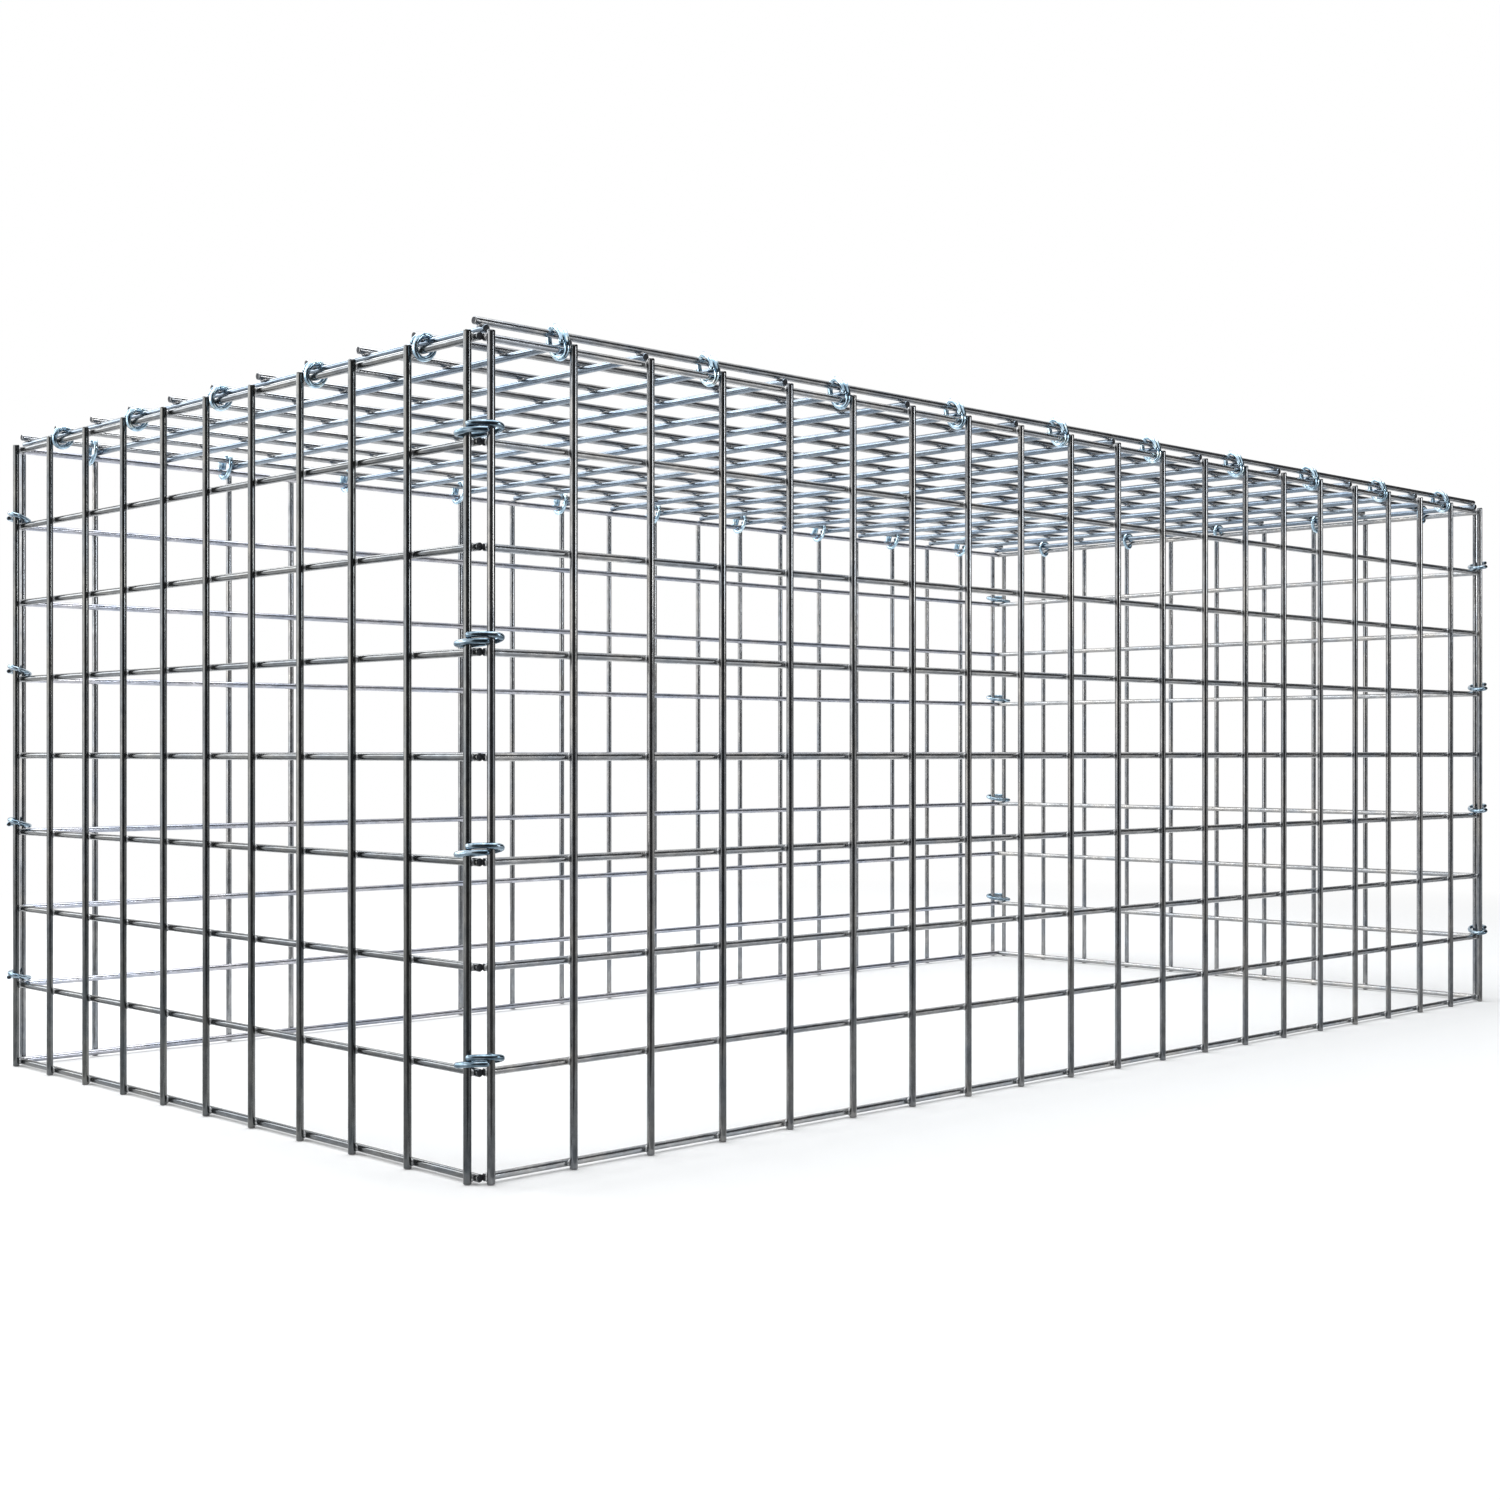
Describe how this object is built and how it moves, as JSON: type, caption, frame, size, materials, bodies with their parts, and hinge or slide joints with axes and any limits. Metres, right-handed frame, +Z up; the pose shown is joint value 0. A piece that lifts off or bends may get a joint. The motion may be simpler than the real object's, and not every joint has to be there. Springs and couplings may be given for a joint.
{
  "type": "gabion basket",
  "caption": "Rectangular stone-fill basket of welded square wire mesh, open underneath, its four side panels and mesh lid tied along every edge by closed wire rings.",
  "frame": {"origin": "middle of the footprint, on the ground under the uprights' lower ends", "axes": "+X along the long side to the right, +Y from the front panel to the back panel, +Z up"},
  "size_m": [1.029, 0.529, 0.4167],
  "materials": {
    "mesh_wire": "galvanised, dull satin with a faint mottle",
    "ring_wire": "bright zinc coated"
  },
  "bodies": {
    "root": {"back_panel": "mesh_wire", "corner_ring_back_left_1": "ring_wire", "corner_ring_back_left_2": "ring_wire", "corner_ring_back_left_3": "ring_wire", "corner_ring_back_left_4": "ring_wire", "corner_ring_back_right_1": "ring_wire", "corner_ring_back_right_2": "ring_wire", "corner_ring_back_right_3": "ring_wire", "corner_ring_back_right_4": "ring_wire", "corner_ring_front_left_1": "ring_wire", "corner_ring_front_left_2": "ring_wire", "corner_ring_front_left_3": "ring_wire", "corner_ring_front_left_4": "ring_wire", "corner_ring_front_right_1": "ring_wire", "corner_ring_front_right_2": "ring_wire", "corner_ring_front_right_3": "ring_wire", "corner_ring_front_right_4": "ring_wire", "front_panel": "mesh_wire", "left_panel": "mesh_wire", "lid_panel": "mesh_wire", "lid_ring_back_01": "ring_wire", "lid_ring_back_02": "ring_wire", "lid_ring_back_03": "ring_wire", "lid_ring_back_04": "ring_wire", "lid_ring_back_05": "ring_wire", "lid_ring_back_06": "ring_wire", "lid_ring_back_07": "ring_wire", "lid_ring_back_08": "ring_wire", "lid_ring_back_09": "ring_wire", "lid_ring_back_10": "ring_wire", "lid_ring_front_01": "ring_wire", "lid_ring_front_02": "ring_wire", "lid_ring_front_03": "ring_wire", "lid_ring_front_04": "ring_wire", "lid_ring_front_05": "ring_wire", "lid_ring_front_06": "ring_wire", "lid_ring_front_07": "ring_wire", "lid_ring_front_08": "ring_wire", "lid_ring_front_09": "ring_wire", "lid_ring_front_10": "ring_wire", "lid_ring_left_01": "ring_wire", "lid_ring_left_02": "ring_wire", "lid_ring_left_03": "ring_wire", "lid_ring_left_04": "ring_wire", "lid_ring_left_05": "ring_wire", "lid_ring_right_01": "ring_wire", "lid_ring_right_02": "ring_wire", "lid_ring_right_03": "ring_wire", "lid_ring_right_04": "ring_wire", "lid_ring_right_05": "ring_wire", "right_panel": "mesh_wire"}
  },
  "joints": []
}
